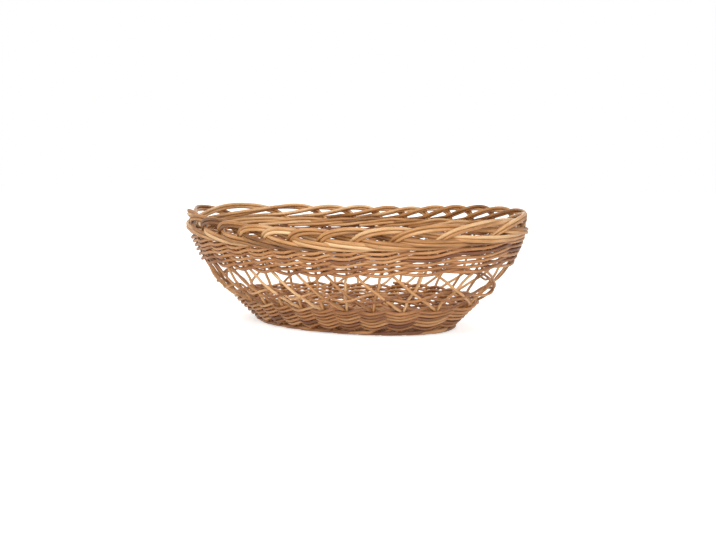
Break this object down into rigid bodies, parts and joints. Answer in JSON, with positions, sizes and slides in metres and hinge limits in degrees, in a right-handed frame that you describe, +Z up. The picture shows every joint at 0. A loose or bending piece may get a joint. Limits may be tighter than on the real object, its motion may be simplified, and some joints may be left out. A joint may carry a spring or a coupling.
{
  "type": "oval bread basket",
  "caption": "Oval open-work bread basket woven from peeled willow rods, with flaring sides, a band of open lattice and a plaited border.",
  "frame": {"origin": "middle of the base, on the plane that the basket stands on", "axes": "+X along the oval's long axis, +Y along its short axis, +Z up towards the open mouth"},
  "size_m": [0.3672, 0.2924, 0.1122],
  "materials": {
    "base_sticks": "peeled willow sticks, matt",
    "weavers": "peeled willow rods, satin",
    "stakes": "peeled willow rods, satin",
    "border": "peeled willow rods, satin"
  },
  "bodies": {
    "root": {"base_long_stick_1": "base_sticks", "base_long_stick_2": "base_sticks", "base_long_stick_3": "base_sticks", "base_cross_stick_1": "base_sticks", "base_cross_stick_2": "base_sticks", "base_cross_stick_3": "base_sticks", "base_cross_stick_4": "base_sticks", "base_cross_stick_5": "base_sticks", "base_cross_stick_6": "base_sticks", "base_cross_stick_7": "base_sticks", "base_cross_stick_8": "base_sticks", "base_cross_stick_9": "base_sticks", "base_round_1": "weavers", "base_round_2": "weavers", "base_round_3": "weavers", "base_round_4": "weavers", "base_round_5": "weavers", "base_round_6": "weavers", "stake_pair_01": "stakes", "stake_pair_02": "stakes", "stake_pair_03": "stakes", "stake_pair_04": "stakes", "stake_pair_05": "stakes", "stake_pair_06": "stakes", "stake_pair_07": "stakes", "stake_pair_08": "stakes", "stake_pair_09": "stakes", "stake_pair_10": "stakes", "stake_pair_11": "stakes", "stake_pair_12": "stakes", "stake_pair_13": "stakes", "stake_pair_14": "stakes", "stake_pair_15": "stakes", "stake_pair_16": "stakes", "stake_pair_17": "stakes", "stake_pair_18": "stakes", "stake_pair_19": "stakes", "stake_pair_20": "stakes", "stake_pair_21": "stakes", "stake_pair_22": "stakes", "stake_pair_23": "stakes", "stake_pair_24": "stakes", "lower_weaver_1": "weavers", "lower_weaver_2": "weavers", "middle_weaver_1": "weavers", "middle_weaver_2": "weavers", "upper_weaver_1": "weavers", "upper_weaver_2": "weavers", "border_strand_1": "border", "border_strand_2": "border", "border_strand_3": "border"}
  },
  "joints": []
}
